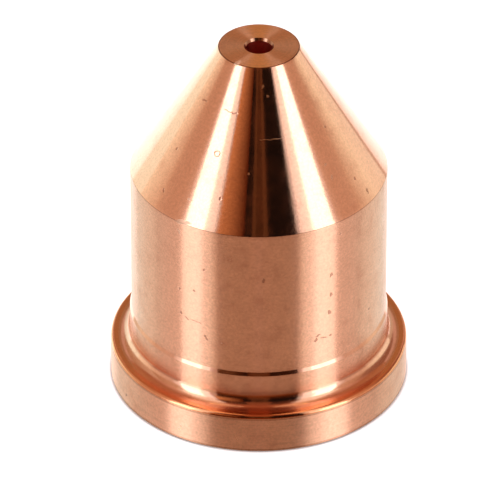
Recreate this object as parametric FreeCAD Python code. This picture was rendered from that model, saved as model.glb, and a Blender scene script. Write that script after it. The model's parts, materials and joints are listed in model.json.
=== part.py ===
import FreeCAD, Part
import math
import os

# Plasma torch nozzle: one piece turned from copper bar, standing on its flange with the tip up.
# Millimetres, +Z up. The origin is on the axis, at the centre of the flange's bottom face.

# Outside, from the base up
flange_overhang = 1.23      # radial width of the flange beyond the lower land
flange_thickness = 2.72
flange_top_round = 0.25     # broken edge between the flange's side and its top face
flange_base_break = 0.08    # chamfer between the flange's side and its bottom face
root_fillet = 0.75          # concave corner where the body rises from the flange
land_height = 2.14          # lower land, from the flange's top face to the step
step_width = 0.10           # radial difference between the lower land and the body
step_rise = 0.22            # height of the conical step between them
body_diameter = 16.0
shoulder_height = 15.2      # from the base to the edge where the cone starts
cone_height = 8.8
tip_diameter = 5.0          # flat face at the tip
tip_rim_break = 0.08

# Inside, from the tip down
orifice_diameter = 1.65
mouth_width = 0.10          # steep chamfer where the orifice opens on the tip face
mouth_depth = 0.16
throat_length = 3.5         # from the tip face to the floor of the chamber
throat_lead = 0.20          # chamfer where the chamber's floor leads into the throat
cone_wall = 2.2             # square to the cone, between it and the chamber's taper
floor_blend = 0.6           # corner between the taper and the chamber's floor
taper_blend = 2.0           # corner between the chamber's bore and its taper
chamber_wall = 2.2          # between the body's outside and the chamber's bore
seat_wall = 1.35            # between the body's outside and the seat's bore
seat_depth = 3.4
seat_lead = 0.30            # chamfer at the seat's mouth

# Worked out from the sizes above
body_radius = body_diameter / 2
land_radius = body_radius + step_width
flange_radius = land_radius + flange_overhang
tip_radius = tip_diameter / 2
orifice_radius = orifice_diameter / 2
chamber_radius = body_radius - chamber_wall
seat_radius = body_radius - seat_wall
step_bottom = flange_thickness + land_height
overall_height = shoulder_height + cone_height
floor_height = overall_height - throat_length


def cone_radius(height):
    """Radius of the outer cone at a height above the base."""
    share = (height - shoulder_height) / cone_height
    return body_radius + share * (tip_radius - body_radius)


def taper_radius(height):
    """Radius of the chamber's taper, which runs parallel to the outer cone."""
    slant = math.hypot(body_radius - tip_radius, cone_height)
    return cone_radius(height) - cone_wall * slant / cone_height


def taper_start():
    """Height at which the chamber's bore meets the taper."""
    fall = (body_radius - tip_radius) / cone_height
    return shoulder_height + (taper_radius(shoulder_height) - chamber_radius) / fall


def outer_corners():
    """Section of the outside, from the flange's base to the tip: radius, height, blend radius."""
    return [
        (flange_radius - flange_base_break, 0, 0),
        (flange_radius, flange_base_break, 0),
        (flange_radius, flange_thickness, flange_top_round),
        (land_radius, flange_thickness, root_fillet),
        (land_radius, step_bottom, 0),
        (body_radius, step_bottom + step_rise, 0),
        (body_radius, shoulder_height, 0),
        (tip_radius, overall_height, tip_rim_break),
    ]


def inner_corners():
    """Section of the through bore, from the tip down to the seat's mouth, in the same form."""
    return [
        (orifice_radius + mouth_width, overall_height, 0),
        (orifice_radius, overall_height - mouth_depth, 0),
        (orifice_radius, floor_height + throat_lead, 0),
        (orifice_radius + throat_lead, floor_height, 0),
        (taper_radius(floor_height), floor_height, floor_blend),
        (chamber_radius, taper_start(), taper_blend),
        (chamber_radius, seat_depth, 0),
        (seat_radius, seat_depth, 0),
        (seat_radius, seat_lead, 0),
        (seat_radius + seat_lead, 0, 0),
    ]


def blend_corner(before, corner, after, radius):
    """The arc that rounds a corner: its first, middle and last points."""
    back = (before - corner).normalize()
    ahead = (after - corner).normalize()
    half_angle = back.getAngle(ahead) / 2
    setback = radius / math.tan(half_angle)
    inward = (back + ahead).normalize()
    middle = corner + inward * (radius / math.sin(half_angle) - radius)
    return corner + back * setback, middle, corner + ahead * setback


def section_face(corners):
    """Closed face in the XZ plane through the corners, with an arc at each blended one."""
    points = [FreeCAD.Vector(radius, 0, height) for radius, height, _ in corners]
    edges = []
    spans = []
    for index, (_, _, blend) in enumerate(corners):
        corner = points[index]
        if blend == 0:
            spans.append((corner, corner))
            continue
        after = points[(index + 1) % len(points)]
        start, middle, end = blend_corner(points[index - 1], corner, after, blend)
        edges.append(Part.Arc(start, middle, end).toShape())
        spans.append((start, end))
    for index, (_, leave) in enumerate(spans):
        arrive = spans[(index + 1) % len(spans)][0]
        edges.append(Part.LineSegment(leave, arrive).toShape())
    return Part.Face(Part.Wire(Part.__sortEdges__(edges)))


def make_nozzle():
    """The whole nozzle: its section turned once round the Z axis."""
    section = section_face(outer_corners() + inner_corners())
    axis_point = FreeCAD.Vector(0, 0, 0)
    axis_direction = FreeCAD.Vector(0, 0, 1)
    return section.revolve(axis_point, axis_direction, 360)


os.makedirs("parts", exist_ok=True)
nozzle = make_nozzle()
nozzle.exportStep("parts/nozzle.step")
print("nozzle: %.3f mm3, valid %s" % (nozzle.Volume, nozzle.isValid()))
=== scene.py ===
import json
import math

import bpy
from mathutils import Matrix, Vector


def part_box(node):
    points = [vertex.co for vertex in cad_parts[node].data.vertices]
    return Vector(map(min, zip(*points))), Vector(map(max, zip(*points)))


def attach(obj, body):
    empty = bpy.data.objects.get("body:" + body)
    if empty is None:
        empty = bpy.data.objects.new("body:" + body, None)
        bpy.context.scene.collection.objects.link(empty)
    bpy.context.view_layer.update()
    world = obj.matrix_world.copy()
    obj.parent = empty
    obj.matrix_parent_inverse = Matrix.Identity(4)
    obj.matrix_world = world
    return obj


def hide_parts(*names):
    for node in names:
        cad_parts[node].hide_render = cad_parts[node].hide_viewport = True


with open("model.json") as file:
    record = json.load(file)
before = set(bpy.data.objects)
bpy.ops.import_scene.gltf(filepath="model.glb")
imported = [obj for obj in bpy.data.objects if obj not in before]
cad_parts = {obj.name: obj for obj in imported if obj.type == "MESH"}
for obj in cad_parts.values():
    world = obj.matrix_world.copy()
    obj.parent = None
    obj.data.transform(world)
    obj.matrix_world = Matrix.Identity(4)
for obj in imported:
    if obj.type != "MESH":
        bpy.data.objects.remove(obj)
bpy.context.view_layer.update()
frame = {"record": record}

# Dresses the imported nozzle: a finely divided turned skin, bare copper, a pale floor and a studio.
# Metres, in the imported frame: +Z up, the axis at x = y = 0. Azimuths are in degrees from the
# camera's side, positive towards +X. Elevations are in degrees above the horizon.

MM = 0.001
node_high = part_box("nozzle")[1]
mounts = {mount["name"]: mount for mount in frame["record"]["mounts"]}

# Sizes of the outside, from the base up
overall_height = node_high.z
flange_radius = node_high.x
flange_thickness = mounts["clamp_face"]["pos_m"][2]
land_radius = mounts["body_outside"]["dims"]["r_mm"] * MM
flange_top_round = 0.25 * MM
flange_base_break = 0.08 * MM
rim_line = 0.12 * MM
root_fillet = 0.75 * MM
land_height = 2.14 * MM
step_width = 0.10 * MM
step_rise = 0.22 * MM
step_edge = 0.03 * MM
shoulder_height = 15.2 * MM
shoulder_edge = 0.05 * MM
tip_radius = 2.5 * MM
tip_rim_break = 0.08 * MM

# Sizes of the through bore, from the tip down
orifice_radius = mounts["orifice_bore"]["dims"]["r_mm"] * MM
mouth_width = 0.10 * MM
mouth_depth = 0.16 * MM
throat_length = 3.5 * MM
throat_lead = 0.20 * MM
cone_wall = 2.2 * MM
floor_blend = 0.6 * MM
taper_blend = 2.0 * MM
chamber_wall = 2.2 * MM
seat_radius = mounts["seat_bore"]["dims"]["r_mm"] * MM
seat_depth = 3.4 * MM
seat_lead = 0.30 * MM

# Worked out from the sizes above
body_radius = land_radius - step_width
chamber_radius = body_radius - chamber_wall
step_bottom = flange_thickness + land_height
floor_height = overall_height - throat_length
cone_height = overall_height - shoulder_height
cone_slope = (body_radius - tip_radius) / cone_height

# Fineness of the skin
SECTORS = 360
RUN_STEP = 0.25 * MM
ARC_STEP = math.radians(10)
FEWEST_ARC_STEPS = 3
SHARP_ANGLE = math.radians(18)

# Finishes and painted shades: colour, roughness, anisotropy, and how strongly the turning rings and
# the grain show
FINISHES_AND_SHADES = {
    "body": ((0.92, 0.50, 0.35), 0.24, 1.0, 0.06, 0.40),
    "cone": ((0.92, 0.50, 0.35), 0.14, 1.0, 0.06, 0.36),
    "rim": ((0.91, 0.49, 0.34), 0.30, 1.0, 0.30, 0.50),
    "step": ((0.92, 0.50, 0.35), 0.14, 1.0, 0.04, 0.20),
    # painted shade: a darker copper for two thin bands on the flange's side, standing in for the
    # shadow at its foot and under its top round
    "shaded_line": ((0.66, 0.32, 0.21), 0.30, 1.0, 0.10, 0.60),
    # painted shade: a dark copper for the small edge breaks, standing in for the dark rings that
    # shade makes along them
    "edge": ((0.36, 0.17, 0.11), 0.25, 1.0, 0.10, 0.80),
    "flange": ((0.93, 0.42, 0.23), 0.13, 1.0, 0.25, 0.30),
    "face": ((0.90, 0.50, 0.33), 0.34, 1.0, 0.30, 0.40),
    "mouth": ((0.52, 0.27, 0.18), 0.20, 1.0, 0.05, 0.20),
    # painted shade and painted bounce light: the bore's copper is a dark deep red, standing in for
    # the shade inside it and the red of light bounced round its walls
    "bore": ((0.62, 0.10, 0.07), 0.45, 0.3, 0.10, 0.20),
}
FINISH_AND_SHADE_NAMES = list(FINISHES_AND_SHADES)


def cone_radius(height):
    """Radius of the outer cone at a height above the base."""
    return body_radius - cone_slope * (height - shoulder_height)


def taper_radius(height):
    """Radius of the chamber's taper, which runs parallel to the outer cone."""
    slant = math.hypot(body_radius - tip_radius, cone_height)
    return cone_radius(height) - cone_wall * slant / cone_height


def taper_start():
    """Height at which the chamber's bore meets the taper."""
    return shoulder_height + (taper_radius(shoulder_height) - chamber_radius) / cone_slope


def section_corners():
    """Corners of the section: radius, height, blend radius, the blend's finish and the next run's."""
    line_height = flange_thickness - flange_top_round - rim_line
    return [
        # painted shade: the base break is dark copper
        (flange_radius - flange_base_break, 0, 0, "edge", "edge"),
        # painted shade: thin darker bands at the flange's foot and just under its top round
        (flange_radius, flange_base_break, 0, "shaded_line", "shaded_line"),
        (flange_radius, flange_base_break + rim_line, 0, "rim", "rim"),
        (flange_radius, line_height, 0, "shaded_line", "shaded_line"),
        (flange_radius, flange_thickness, flange_top_round, "flange", "flange"),
        (land_radius, flange_thickness, root_fillet, "step", "body"),
        (land_radius, step_bottom, step_edge, "step", "step"),
        (body_radius, step_bottom + step_rise, step_edge, "step", "body"),
        # painted shade: the shoulder's round and the tip's rim break are dark copper
        (body_radius, shoulder_height, shoulder_edge, "edge", "cone"),
        (tip_radius, overall_height, tip_rim_break, "edge", "face"),
        (orifice_radius + mouth_width, overall_height, 0, "mouth", "mouth"),
        (orifice_radius, overall_height - mouth_depth, 0, "bore", "bore"),
        (orifice_radius, floor_height + throat_lead, 0, "bore", "bore"),
        (orifice_radius + throat_lead, floor_height, 0, "bore", "bore"),
        (taper_radius(floor_height), floor_height, floor_blend, "bore", "bore"),
        (chamber_radius, taper_start(), taper_blend, "bore", "bore"),
        (chamber_radius, seat_depth, 0, "bore", "bore"),
        (seat_radius, seat_depth, 0, "bore", "bore"),
        (seat_radius, seat_lead, 0, "bore", "bore"),
        (seat_radius + seat_lead, 0, 0, "rim", "rim"),
    ]


def blended_corner(before, corner, after, radius):
    """Points along the arc that rounds a corner."""
    if radius == 0:
        return [corner]
    back = (before - corner).normalized()
    ahead = (after - corner).normalized()
    half_angle = back.angle(ahead) / 2
    centre = corner + (back + ahead).normalized() * radius / math.sin(half_angle)
    start = (corner + back * radius / math.tan(half_angle) - centre).normalized()
    end = (corner + ahead * radius / math.tan(half_angle) - centre).normalized()
    count = max(FEWEST_ARC_STEPS, math.ceil(start.angle(end) / ARC_STEP))
    return [centre + start.slerp(end, step / count) * radius for step in range(count + 1)]


def section_rows():
    """Rows of the skin: (radius, height) as a vector, and the finish between it and the next."""
    corners = section_corners()
    points = [Vector(corner[:2]) for corner in corners]
    spans = []
    for index, corner in enumerate(corners):
        after = points[(index + 1) % len(points)]
        spans.append(blended_corner(points[index - 1], points[index], after, corner[2]))
    rows = []
    for index, span in enumerate(spans):
        _, _, _, blend_finish, finish = corners[index]
        rows.extend((point, blend_finish) for point in span[:-1])
        rows.append((span[-1], finish))
        leave = span[-1]
        arrive = spans[(index + 1) % len(spans)][0]
        count = max(1, round((arrive - leave).length / RUN_STEP))
        rows.extend((leave.lerp(arrive, step / count), finish) for step in range(1, count))
    return rows


def skin_vertices(rows):
    """The rows' points carried round the axis, sector by sector."""
    turns = [math.tau * sector / SECTORS for sector in range(SECTORS)]
    return [
        (point.x * math.sin(turn), -point.x * math.cos(turn), point.y)
        for point, _ in rows
        for turn in turns
    ]


def skin_faces(rows):
    """Four-sided faces between each row and the next, and the number of each face's finish."""
    faces = []
    finishes = []
    for row, (_, finish) in enumerate(rows):
        lower = row * SECTORS
        upper = (row + 1) % len(rows) * SECTORS
        for sector in range(SECTORS):
            ahead = (sector + 1) % SECTORS
            faces.append((lower + sector, lower + ahead, upper + ahead, upper + sector))
            finishes.append(FINISH_AND_SHADE_NAMES.index(finish))
    return faces, finishes


def make_skin():
    """The turned skin: the section's rows carried once round the axis."""
    rows = section_rows()
    faces, finishes = skin_faces(rows)
    mesh = bpy.data.meshes.new("turned_skin")
    mesh.from_pydata(skin_vertices(rows), [], faces)
    mesh.polygons.foreach_set("material_index", finishes)
    mesh.polygons.foreach_set("use_smooth", [True] * len(faces))
    mesh.set_sharp_from_angle(angle=SHARP_ANGLE)
    mesh.update()
    skin = bpy.data.objects.new("turned_skin", mesh)
    bpy.context.scene.collection.objects.link(skin)
    return skin


# Sizes of the wear marks: half the width and half the height, in mm
SPECK = (0.10, 0.10)
NICK = (0.10, 0.20)
DASH = (0.25, 0.05)
HAIR = (0.50, 0.03)
BURR = (0.75, 0.15)
DENT = (0.25, 0.25)

# Wear marks: azimuth in degrees, height in mm, size, and slant in degrees
DARK_MARKS = (
    (26, 7, NICK, 20),
    (27, 7.25, DASH, -20),
    (30, 7, DASH, 10),
    (34, 7, SPECK, 0),
    (59, 7.25, SPECK, 0),
    (33, 8.75, NICK, -30),
    (34, 10, NICK, 0),
    (34, 11.5, NICK, 20),
    (39, 14.25, SPECK, 0),
    (2, 12, NICK, 0),
    (-24, 7.25, DASH, 50),
    (-29, 8.25, HAIR, 5),
    (-34, 8.25, DASH, 30),
    (-37, 8.5, SPECK, 0),
    (-38, 10.25, SPECK, 0),
    (-30, 10.5, SPECK, 0),
    (-25, 12.25, SPECK, 0),
    (-20, 17, SPECK, 0),
    (-53, 16.25, SPECK, 0),
    (-58, 18.5, SPECK, 0),
    (-55, 21.5, DASH, 5),
    (-26, 21.5, HAIR, 5),
    (-22, 21.5, DASH, 0),
    (57, 16.75, SPECK, 0),
    (54, 20, SPECK, 0),
    (-63, 0.75, NICK, 30),
)
RING_MARK = (-28, 19.25, DENT, 0)
LIGHT_MARKS = (
    (5, 20.25, HAIR, 0),
    (13, 20.25, HAIR, 0),
    (5, 23, SPECK, 0),
    (9, 22.5, SPECK, 0),
    (42, 18.25, SPECK, 0),
    (43, 17.5, NICK, 30),
    (61, 15.75, NICK, 20),
    (-6, 18.5, SPECK, 0),
    (-38, 14.5, NICK, -30),
    (-36, 16.5, DASH, 0),
    (-36, 15.25, BURR, -10),
    (-34, 24, NICK, 90),
)
DARK_COLOUR = (0.20, 0.05, 0.03, 1)
LIGHT_COLOUR = (1.0, 0.72, 0.55, 1)
DARK_SHARE = 0.5
LIGHT_SHARE = 0.5
MARK_REACH = 0.6 * MM
MARK_STEEPNESS = 2.5
RAGGED_SCALE = 4000
RAGGED_WIDTH = 0.24 * MM

# Noise in the metal: scales per metre, stretch along the tool's path, depth of the bump
RING_SCALE = 220
RING_STRETCH = 50
GRAIN_SCALE = 6200
STAIN_SCALE = 1100
STAIN_SHARE = 0.6
STAIN_ROUGHNESS = 0.12
SCRATCH_ROUGHNESS = 0.3
NICK_DEPTH = 3
BUMP_DISTANCE = 0.01 * MM
BUMP_STRENGTH = 0.35


def put_value(tree, socket, value):
    """Links the socket to another one, or sets it to a number."""
    if isinstance(value, bpy.types.NodeSocket):
        tree.links.new(value, socket)
    else:
        socket.default_value = value


def arithmetic(tree, operation, *values):
    """Result of a sum on sockets or numbers."""
    node = tree.nodes.new("ShaderNodeMath")
    node.operation = operation
    for socket, value in zip(node.inputs, values):
        put_value(tree, socket, value)
    return node.outputs["Value"]


def noise(tree, vector, scale, detail):
    """Noise with its mean taken off, from about -0.5 to 0.5."""
    node = tree.nodes.new("ShaderNodeTexNoise")
    node.inputs["Scale"].default_value = scale
    node.inputs["Detail"].default_value = detail
    tree.links.new(vector, node.inputs["Vector"])
    return arithmetic(tree, "SUBTRACT", node.outputs["Fac"], 0.5)


def mixed_colour(tree, share, first, second):
    """The first colour at a share of 0, the second at 1."""
    node = tree.nodes.new("ShaderNodeMix")
    node.data_type = "RGBA"
    put_value(tree, node.inputs["Factor"], share)
    put_value(tree, node.inputs["A"], first)
    put_value(tree, node.inputs["B"], second)
    return node.outputs["Result"]


def lathe_path(tree, position):
    """Position stretched along the tool's path, so that noise in it makes rings round the axis."""
    split = tree.nodes.new("ShaderNodeSeparateXYZ")
    tree.links.new(position, split.inputs["Vector"])
    across, along, up = split.outputs
    along_square = arithmetic(tree, "MULTIPLY", along, along)
    square = arithmetic(tree, "MULTIPLY_ADD", across, across, along_square)
    travel = arithmetic(tree, "SUBTRACT", up, arithmetic(tree, "SQRT", square))
    stretched = arithmetic(tree, "MULTIPLY", travel, RING_STRETCH)
    join = tree.nodes.new("ShaderNodeCombineXYZ")
    for socket, value in zip(join.inputs, (across, along, stretched)):
        tree.links.new(value, socket)
    return join.outputs["Vector"]


def rough_position(tree, position):
    """Position shaken a little, so that a mark's outline is ragged."""
    shake = tree.nodes.new("ShaderNodeTexNoise")
    shake.inputs["Scale"].default_value = RAGGED_SCALE
    tree.links.new(position, shake.inputs["Vector"])
    scaled = tree.nodes.new("ShaderNodeVectorMath")
    scaled.operation = "MULTIPLY_ADD"
    tree.links.new(shake.outputs["Color"], scaled.inputs[0])
    scaled.inputs[1].default_value = (RAGGED_WIDTH,) * 3
    tree.links.new(position, scaled.inputs[2])
    return scaled.outputs["Vector"]


def mark_middle(azimuth, height):
    """Point of the outside at an azimuth in degrees and a height in mm."""
    turn = math.radians(azimuth)
    tall = height * MM
    radius = flange_radius if tall < flange_thickness else body_radius
    if tall > shoulder_height:
        radius = cone_radius(tall)
    return Vector((radius * math.sin(turn), -radius * math.cos(turn), tall))


def mark_shape(tree, position, azimuth, height, size, slant):
    """How near a point is to a mark's middle: 1 there, 0 from its outline on."""
    half_width, half_height = size
    place = tree.nodes.new("ShaderNodeMapping")
    place.vector_type = "TEXTURE"
    ragged_mean = Vector((RAGGED_WIDTH / 2,) * 3)
    place.inputs["Location"].default_value = mark_middle(azimuth, height) + ragged_mean
    place.inputs["Rotation"].default_value = (0, math.radians(slant), math.radians(azimuth))
    place.inputs["Scale"].default_value = (half_width * MM, MARK_REACH, half_height * MM)
    tree.links.new(position, place.inputs["Vector"])
    ball = tree.nodes.new("ShaderNodeTexGradient")
    ball.gradient_type = "SPHERICAL"
    tree.links.new(place.outputs["Vector"], ball.inputs["Vector"])
    return ball.outputs["Fac"]


def marks_mask(tree, position, marks):
    """Share of wear at a point, from 0 to 1."""
    deepest = 0
    for mark in marks:
        deepest = arithmetic(tree, "MAXIMUM", mark_shape(tree, position, *mark), deepest)
    mask = arithmetic(tree, "MULTIPLY", deepest, MARK_STEEPNESS)
    mask.node.use_clamp = True
    return mask


def ring_mask(tree, position):
    """The small round dent's rim: strongest about two thirds of the way out from its middle."""
    nearness = mark_shape(tree, position, *RING_MARK)
    offset = arithmetic(tree, "ABSOLUTE", arithmetic(tree, "SUBTRACT", nearness, 0.35))
    mask = arithmetic(tree, "MULTIPLY_ADD", offset, -5, 0.7)
    mask.node.use_clamp = True
    return mask


def turned_shader(tree, anisotropy):
    """The metal's shader, with its highlights drawn out across the turning rings."""
    shader = tree.nodes["Principled BSDF"]
    shader.inputs["Metallic"].default_value = 1
    shader.inputs["Anisotropic"].default_value = anisotropy
    shader.inputs["Anisotropic Rotation"].default_value = 0.25
    tangent = tree.nodes.new("ShaderNodeTangent")
    tangent.direction_type = "RADIAL"
    tangent.axis = "Z"
    tree.links.new(tangent.outputs["Tangent"], shader.inputs["Tangent"])
    return shader


def lathe_texture(tree, position, rings, grain):
    """Turning rings and fine grain added together, about 0."""
    ring_noise = noise(tree, lathe_path(tree, position), RING_SCALE, 3)
    grain_noise = noise(tree, position, GRAIN_SCALE, 3)
    texture = arithmetic(tree, "MULTIPLY", ring_noise, rings)
    return arithmetic(tree, "MULTIPLY_ADD", grain_noise, grain, texture)


def clean_colour(tree, colour, texture, stain_noise):
    """Copper without its marks: lighter and darker with the texture, redder in the stains."""
    light_share = arithmetic(tree, "ADD", texture, 0.5)
    darker = (*[0.5 * level for level in colour], 1)
    lighter = (*[1.5 * level for level in colour], 1)
    metal = mixed_colour(tree, light_share, darker, lighter)
    stain = arithmetic(tree, "MULTIPLY_ADD", stain_noise, 3, -0.25)
    stain.node.use_clamp = True
    stain_share = arithmetic(tree, "MULTIPLY", stain, STAIN_SHARE)
    stained = (0.85 * colour[0], 0.72 * colour[1], 0.70 * colour[2], 1)
    return mixed_colour(tree, stain_share, metal, stained)


def marked_colour(tree, metal, dark, light):
    """Copper with its nicks and the dent's rim, then its light scratches."""
    dark_share = arithmetic(tree, "MULTIPLY", dark, DARK_SHARE)
    light_share = arithmetic(tree, "MULTIPLY", light, LIGHT_SHARE)
    metal = mixed_colour(tree, dark_share, metal, DARK_COLOUR)
    return mixed_colour(tree, light_share, metal, LIGHT_COLOUR)


def surface_roughness(tree, roughness, stain_noise, light):
    stained = arithmetic(tree, "MULTIPLY_ADD", stain_noise, STAIN_ROUGHNESS, roughness)
    return arithmetic(tree, "MULTIPLY_ADD", light, SCRATCH_ROUGHNESS, stained)


def surface_bump(tree, texture, dark):
    """The surface's fine relief, with the nicks cut into it."""
    relief = arithmetic(tree, "MULTIPLY_ADD", dark, -NICK_DEPTH, texture)
    bump = tree.nodes.new("ShaderNodeBump")
    bump.inputs["Distance"].default_value = BUMP_DISTANCE
    bump.inputs["Strength"].default_value = BUMP_STRENGTH
    tree.links.new(relief, bump.inputs["Height"])
    return bump.outputs["Normal"]


def turned_copper(name, colour, roughness, anisotropy, rings, grain):
    """Bare copper off the lathe: rings round the axis, fine grain, faint stains and wear marks."""
    material = bpy.data.materials.new("copper_" + name)
    material.use_nodes = True
    tree = material.node_tree
    shader = turned_shader(tree, anisotropy)
    position = tree.nodes.new("ShaderNodeTexCoord").outputs["Object"]
    texture = lathe_texture(tree, position, rings, grain)
    stain_noise = noise(tree, position, STAIN_SCALE, 2)
    ragged = rough_position(tree, position)
    nicks = marks_mask(tree, ragged, DARK_MARKS)
    dark = arithmetic(tree, "MAXIMUM", nicks, ring_mask(tree, ragged))
    light = marks_mask(tree, ragged, LIGHT_MARKS)
    metal = clean_colour(tree, colour, texture, stain_noise)
    metal = marked_colour(tree, metal, dark, light)
    rough = surface_roughness(tree, roughness, stain_noise, light)
    tree.links.new(metal, shader.inputs["Base Color"])
    tree.links.new(rough, shader.inputs["Roughness"])
    tree.links.new(surface_bump(tree, texture, dark), shader.inputs["Normal"])
    return material


def glow_material():
    """Emission in the colour that each card carries on its corners."""
    material = bpy.data.materials.new("card_glow")
    material.use_nodes = True
    nodes = material.node_tree.nodes
    links = material.node_tree.links
    nodes.clear()
    output = nodes.new("ShaderNodeOutputMaterial")
    glow = nodes.new("ShaderNodeEmission")
    colour = nodes.new("ShaderNodeVertexColor")
    colour.layer_name = "glow"
    links.new(colour.outputs["Color"], glow.inputs["Color"])
    links.new(glow.outputs["Emission"], output.inputs["Surface"])
    return material


SHELL_RADIUS = 1.0
CARD_STEP = 4.0


def card_count(limits):
    """How many strips of about CARD_STEP degrees fit between two angles."""
    return max(1, round(abs(limits[1] - limits[0]) / CARD_STEP))


def shell_point(azimuth, elevation):
    """Point of the studio's shell, from angles in degrees."""
    turn = math.radians(azimuth)
    lift = math.radians(elevation)
    return (
        SHELL_RADIUS * math.cos(lift) * math.sin(turn),
        -SHELL_RADIUS * math.cos(lift) * math.cos(turn),
        overall_height / 2 + SHELL_RADIUS * math.sin(lift),
    )


def card_vertices(azimuths, elevations, first, last):
    """The card's points and the glow at each, column by column."""
    columns = card_count(azimuths)
    rows = card_count(elevations)
    vertices = []
    glows = []
    for column in range(columns + 1):
        share = column / columns
        azimuth = azimuths[0] + share * (azimuths[1] - azimuths[0])
        glow = [a + share * (b - a) for a, b in zip(first, last)] + [1]
        for row in range(rows + 1):
            elevation = elevations[0] + row / rows * (elevations[1] - elevations[0])
            vertices.append(shell_point(azimuth, elevation))
            glows.append(glow)
    return vertices, glows


def card_faces(columns, rows):
    faces = []
    for column in range(columns):
        for row in range(rows):
            corner = column * (rows + 1) + row
            faces.append((corner, corner + rows + 1, corner + rows + 2, corner + 1))
    return faces


def studio_card(name, material, azimuths, elevations, first, last):
    """A curved card that lights the nozzle, between two azimuths and two elevations.

    Its colour runs from the first to the second between its two azimuths."""
    vertices, glows = card_vertices(azimuths, elevations, first, last)
    mesh = bpy.data.meshes.new(name)
    mesh.from_pydata(vertices, [], card_faces(card_count(azimuths), card_count(elevations)))
    layer = mesh.color_attributes.new("glow", "FLOAT_COLOR", "POINT")
    for index, glow in enumerate(glows):
        layer.data[index].color = glow
    mesh.materials.append(material)
    card = bpy.data.objects.new(name, mesh)
    card.visible_camera = False
    card.visible_shadow = False
    bpy.context.scene.collection.objects.link(card)


def grey(level):
    return (level, level, level)


BLACK = grey(0.004)
TABLE = (-90, -30)
BRINK = (-30, -10)
MIDDLE = (-10, 14)
UPPER = (14, 40)
HIGH = (40, 65)
LOFT = (65, 84)

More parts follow.
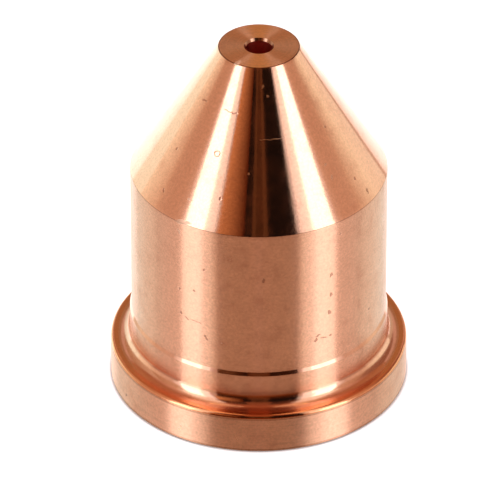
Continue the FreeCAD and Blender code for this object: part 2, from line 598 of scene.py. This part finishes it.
# Boards of the studio: azimuths on one or both sides, elevations, and the colours at the first and
# the last azimuth.
BOARDS = (
    ("camera", ((0, 4), (0, -3)), UPPER, (0.050, 0.020, 0.008), (0.050, 0.020, 0.008)),
    ("camera_rim", ((4, 8), (-3, -6)), UPPER, (0.10, 0.045, 0.018), (0.08, 0.035, 0.015)),
    ("flag", ((8, 33), (-6, -13)), UPPER, BLACK, BLACK),
    ("bounce", ((-13, -37),), UPPER, (0.08, 0.012, 0.002), (0.66, 0.31, 0.13)),
    ("softbox_rim", ((33, 37), (-37, -39)), UPPER, grey(0.45), grey(0.9)),
    ("softbox_edge", ((37, 48), (-39, -48)), UPPER, grey(1.15), grey(1.5)),
    ("softbox", ((48, 67), (-48, -66)), UPPER, grey(2.8), grey(2.8)),
    ("softbox_end", ((67, 71), (-66, -70)), UPPER, grey(1.0), (0.75, 0.60, 0.50)),
    ("wall", ((71, 98), (-70, -98)), UPPER, (0.66, 0.46, 0.33), (0.48, 0.29, 0.18)),
    ("rear_right", ((98, 146),), UPPER, (0.33, 0.18, 0.12), (0.28, 0.13, 0.08)),
    ("rear_left", ((-98, -146),), UPPER, (0.66, 0.50, 0.38), (0.46, 0.28, 0.16)),
    ("rear_strip", ((146, 162), (-146, -162)), UPPER, (0.62, 0.42, 0.34), (0.62, 0.42, 0.34)),
    ("rear_middle", ((162, 180), (-162, -180)), UPPER, (0.36, 0.20, 0.11), (0.40, 0.24, 0.12)),
    ("slot_centre", ((0, 9), (0, -9)), MIDDLE, (0.13, 0.05, 0.02), (0.10, 0.03, 0.01)),
    ("slot", ((9, 32), (-9, -34)), MIDDLE, (0.03, 0.01, 0.004), (0.04, 0.012, 0.004)),
    ("slot_rim", ((32, 36), (-34, -40)), MIDDLE, (0.50, 0.35, 0.28), (0.70, 0.55, 0.50)),
    ("window_edge", ((36, 44), (-40, -48)), MIDDLE, grey(1.2), grey(1.7)),
    ("window", ((44, 66), (-48, -66)), MIDDLE, grey(2.6), grey(2.6)),
    ("window_end", ((66, 74), (-66, -74)), MIDDLE, grey(1.2), (0.75, 0.62, 0.55)),
    ("sweep", ((74, 94), (-74, -94)), MIDDLE, (0.69, 0.52, 0.43), (0.76, 0.60, 0.46)),
    ("sweep_rise", ((94, 116), (-94, -116)), MIDDLE, (0.78, 0.62, 0.46), (1.08, 1.12, 0.92)),
    ("sweep_right", ((116, 136),), MIDDLE, (1.06, 1.08, 0.90), (1.00, 1.00, 0.86)),
    ("sweep_dusk", ((136, 180),), (-8, 14), (0.62, 0.50, 0.37), (0.60, 0.52, 0.42)),
    ("sweep_left", ((-116, -134),), MIDDLE, (1.10, 1.30, 1.15), (1.12, 1.35, 1.20)),
    ("sweep_left_end", ((-134, -180),), (-6, 14), (1.12, 1.40, 1.30), (0.60, 0.52, 0.42)),
    ("front_high", ((0, 12), (0, -12)), HIGH, (0.26, 0.09, 0.04), (0.26, 0.09, 0.04)),
    ("flag_high", ((12, 40), (-12, -40)), HIGH, (0.06, 0.025, 0.015), (0.12, 0.04, 0.02)),
    ("softbox_high", ((40, 80), (-40, -80)), HIGH, (1.00, 0.85, 0.75), (1.20, 1.20, 1.05)),
    ("wall_high", ((80, 120), (-80, -120)), HIGH, (0.75, 0.48, 0.35), (0.45, 0.22, 0.14)),
    ("rear_high", ((120, 180), (-120, -180)), (40, 72), (0.38, 0.16, 0.08), (0.50, 0.25, 0.12)),
    ("brink", ((0, 34), (0, -36)), BRINK, (0.20, 0.05, 0.01), (0.14, 0.04, 0.01)),
    ("brink_rise", ((34, 50), (-36, -50)), BRINK, (0.50, 0.33, 0.22), (0.85, 0.90, 0.80)),
    ("brink_light", ((50, 70), (-50, -70)), BRINK, grey(1.6), grey(1.4)),
    ("brink_side", ((70, 100), (-70, -100)), BRINK, (0.47, 0.33, 0.27), (0.43, 0.26, 0.20)),
    ("brink_far", ((100, 136), (-100, -134)), BRINK, (0.62, 0.48, 0.38), (0.80, 0.75, 0.60)),
    ("brink_line", ((136, 140),), (-30, -8), (0.60, 0.45, 0.35), (0.80, 0.65, 0.55)),
    ("brink_rear_right", ((140, 180),), (-30, -8), grey(1.45), grey(1.75)),
    ("brink_rear_left", ((-134, -180),), (-30, -6), grey(1.9), grey(1.75)),
    ("table_centre", ((0, 4), (0, -4)), TABLE, (0.66, 0.50, 0.38), (0.64, 0.49, 0.37)),
    ("table_front", ((4, 33), (-4, -36)), TABLE, (0.65, 0.49, 0.36), (0.66, 0.49, 0.35)),
    ("table_rim", ((33, 40), (-36, -43)), TABLE, (0.55, 0.38, 0.28), (0.72, 0.60, 0.48)),
    ("table_pink", ((40, 50), (-43, -54)), TABLE, (1.00, 0.95, 0.78), (1.12, 0.98, 0.90)),
    ("table_glare", ((50, 72), (-54, -72)), TABLE, (1.15, 1.10, 1.05), (1.35, 1.50, 1.40)),
    ("table_side", ((72, 100), (-72, -100)), TABLE, (0.98, 0.84, 0.72), (0.95, 0.90, 0.80)),
    ("table_far", ((100, 145), (-100, -145)), TABLE, (0.89, 0.90, 0.78), (1.06, 1.25, 1.20)),
    ("table_rear", ((145, 180), (-145, -180)), TABLE, (1.06, 1.25, 1.20), (1.00, 1.18, 1.16)),
    ("loft_front", ((0, 55), (0, -55)), LOFT, (0.30, 0.09, 0.04), (0.40, 0.14, 0.06)),
    ("loft_side", ((55, 120), (-55, -120)), LOFT, (0.95, 0.60, 0.40), (0.60, 0.34, 0.18)),
    ("loft_rear", ((120, 180), (-120, -180)), (72, 84), (1.80, 1.25, 0.48), (2.20, 1.50, 0.55)),
    ("ceiling", ((0, 180), (0, -180)), (84, 90), (0.36, 0.12, 0.05), (0.36, 0.12, 0.05)),
)


def make_studio():
    """All the boards, each on its side or sides."""
    glow = glow_material()
    for name, spans, elevations, first, last in BOARDS:
        for azimuths in spans:
            side = "_right" if azimuths[1] > 0 else "_left"
            studio_card(name + side, glow, azimuths, elevations, first, last)


def make_world():
    """A white world, which is the backdrop."""
    world = bpy.data.worlds.new("white_room")
    world.use_nodes = True
    bpy.context.scene.world = world
    world.node_tree.nodes["Background"].inputs["Color"].default_value = (1, 1, 1, 1)


def floor_glow_with_shadow(tree):
    """Strength of the floor's own light: none under the nozzle, 1 from just outside its base on, so
    that a thin painted shadow rings the base.
    """
    position = tree.nodes.new("ShaderNodeTexCoord").outputs["Object"]
    distance = tree.nodes.new("ShaderNodeVectorMath")
    distance.operation = "LENGTH"
    tree.links.new(position, distance.inputs[0])
    painted_shadow_fade = tree.nodes.new("ShaderNodeMapRange")
    painted_shadow_fade.interpolation_type = "SMOOTHSTEP"
    painted_shadow_fade.inputs["From Min"].default_value = flange_radius - 0.1 * MM
    painted_shadow_fade.inputs["From Max"].default_value = flange_radius + 0.2 * MM
    tree.links.new(distance.outputs["Value"], painted_shadow_fade.inputs["Value"])
    return painted_shadow_fade.outputs["Result"]


def floor_material():
    """A matt white that glows enough to meet the backdrop without an edge; its glow drops to a
    painted shadow round the nozzle's base.
    """
    material = bpy.data.materials.new("floor_white")
    material.use_nodes = True
    tree = material.node_tree
    shader = tree.nodes["Principled BSDF"]
    shader.inputs["Base Color"].default_value = (0.9, 0.9, 0.9, 1)
    shader.inputs["Roughness"].default_value = 1
    shader.inputs["Specular IOR Level"].default_value = 0
    shader.inputs["Emission Color"].default_value = (0.74, 0.78, 0.86, 1)
    tree.links.new(floor_glow_with_shadow(tree), shader.inputs["Emission Strength"])
    return material


def make_floor():
    """The white floor under the nozzle."""
    half = 3.0
    corners = [(-half, -half, 0), (half, -half, 0), (half, half, 0), (-half, half, 0)]
    mesh = bpy.data.meshes.new("floor")
    mesh.from_pydata(corners, [], [(0, 1, 2, 3)])
    mesh.materials.append(floor_material())
    floor = bpy.data.objects.new("floor", mesh)
    floor.visible_glossy = False
    bpy.context.scene.collection.objects.link(floor)


def make_camera():
    """A long lens that looks down at the nozzle from the front."""
    tilt = math.radians(34.0)
    distance = 0.4562
    aim = Vector((-0.00055, 0, 0.00886))
    data = bpy.data.cameras.new("camera")
    data.sensor_width = 36
    data.lens = 524.6
    data.clip_start = 0.01
    data.clip_end = 20
    camera = bpy.data.objects.new("camera", data)
    camera.location = aim + distance * Vector((0, -math.cos(tilt), math.sin(tilt)))
    camera.rotation_euler = (math.pi / 2 - tilt, 0, 0)
    bpy.context.scene.collection.objects.link(camera)
    bpy.context.scene.camera = camera


skin = make_skin()
for finish, settings in FINISHES_AND_SHADES.items():
    skin.data.materials.append(turned_copper(finish, *settings))
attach(skin, "root")
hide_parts("nozzle")

make_world()
make_floor()
make_studio()
make_camera()

bpy.context.scene.view_settings.view_transform = "Standard"
